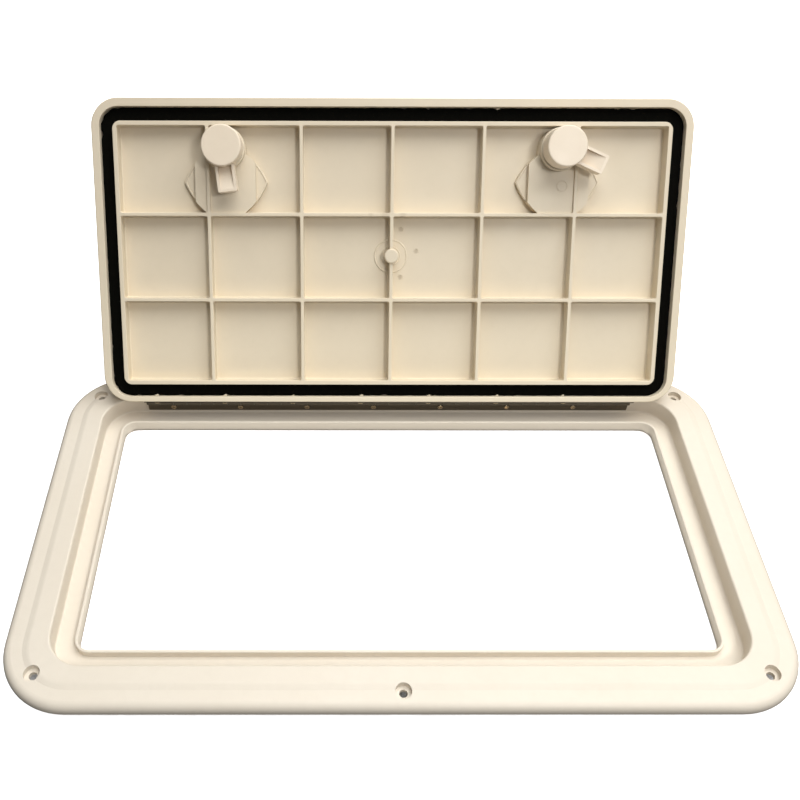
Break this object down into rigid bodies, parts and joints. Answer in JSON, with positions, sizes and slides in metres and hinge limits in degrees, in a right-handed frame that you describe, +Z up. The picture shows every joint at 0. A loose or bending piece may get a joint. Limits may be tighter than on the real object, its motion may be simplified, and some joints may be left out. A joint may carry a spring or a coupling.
{
  "type": "deck hatch",
  "caption": "Flush marine deck hatch: a moulded frame with a screw-down flange and a ribbed, gasketed lid on a piano hinge, held shut by turn latches with lift-up handles.",
  "frame": {"origin": "centre of the four corner screw holes, on the deck's surface (the plane of the skirt's foot)", "axes": "+X along the hinge, +Y towards the hinge side, +Z up out of the deck"},
  "size_m": [0.606, 0.4882, 0.2475],
  "materials": {
    "frame_plastic": "ivory moulded ASA, satin",
    "lid_plastic": "ivory moulded ASA, satin",
    "latch_plastic": "ivory moulded nylon, satin",
    "bush_plastic": "white acetal",
    "gasket_foam": "black closed-cell foam rubber",
    "seal_rubber": "black rubber",
    "hinge_steel": "stainless sheet, brushed",
    "pin_steel": "stainless wire",
    "screw_steel": "stainless screw"
  },
  "bodies": {
    "frame": {"deck_frame": "frame_plastic", "hinge_leaf_frame": "hinge_steel", "hinge_pin": "pin_steel", "hinge_screws_frame": "screw_steel"},
    "lid": {"lid": "lid_plastic", "gasket": "gasket_foam", "hinge_leaf_lid": "hinge_steel", "hinge_screws_lid": "screw_steel", "latch_bush_left": "bush_plastic", "latch_seal_left": "seal_rubber", "latch_bush_right": "bush_plastic", "latch_seal_right": "seal_rubber"},
    "latch_left": {"latch_spindle_left": "latch_plastic", "handle_pin_left": "pin_steel", "friction_washer_left": "bush_plastic", "cam_left": "latch_plastic", "cam_screw_left": "screw_steel", "cam_cap_left": "latch_plastic"},
    "handle_left": {"handle_left": "latch_plastic"},
    "latch_right": {"latch_spindle_right": "latch_plastic", "handle_pin_right": "pin_steel", "friction_washer_right": "bush_plastic", "cam_right": "latch_plastic", "cam_screw_right": "screw_steel", "cam_cap_right": "latch_plastic"},
    "handle_right": {"handle_right": "latch_plastic"}
  },
  "joints": [
    {"name": "lid_hinge", "type": "hinge", "parent": "frame", "child": "lid", "pos_m": [0, 0.1368, 0.0067], "axis": [1, 0, 0], "range_deg": [0, 126.34]},
    {"name": "latch_turn_left", "type": "hinge", "parent": "lid", "child": "latch_left", "pos_m": [-0.149, 0.27309, 0.19197], "axis": [0, -0.8055, 0.5926], "range_deg": [-6.5, 173.5]},
    {"name": "latch_turn_right", "type": "hinge", "parent": "lid", "child": "latch_right", "pos_m": [0.149, 0.27309, 0.19197], "axis": [0, -0.8055, 0.5926], "range_deg": [-66.5, 113.5]},
    {"name": "handle_fold_left", "type": "hinge", "parent": "latch_left", "child": "handle_left", "pos_m": [-0.149, 0.27309, 0.19197], "axis": [-0.9936, -0.0671, -0.0912], "range_deg": [-66, 0]},
    {"name": "handle_fold_right", "type": "hinge", "parent": "latch_right", "child": "handle_right", "pos_m": [0.149, 0.27309, 0.19197], "axis": [-0.3987, -0.5434, -0.7387], "range_deg": [-66, 0]}
  ]
}
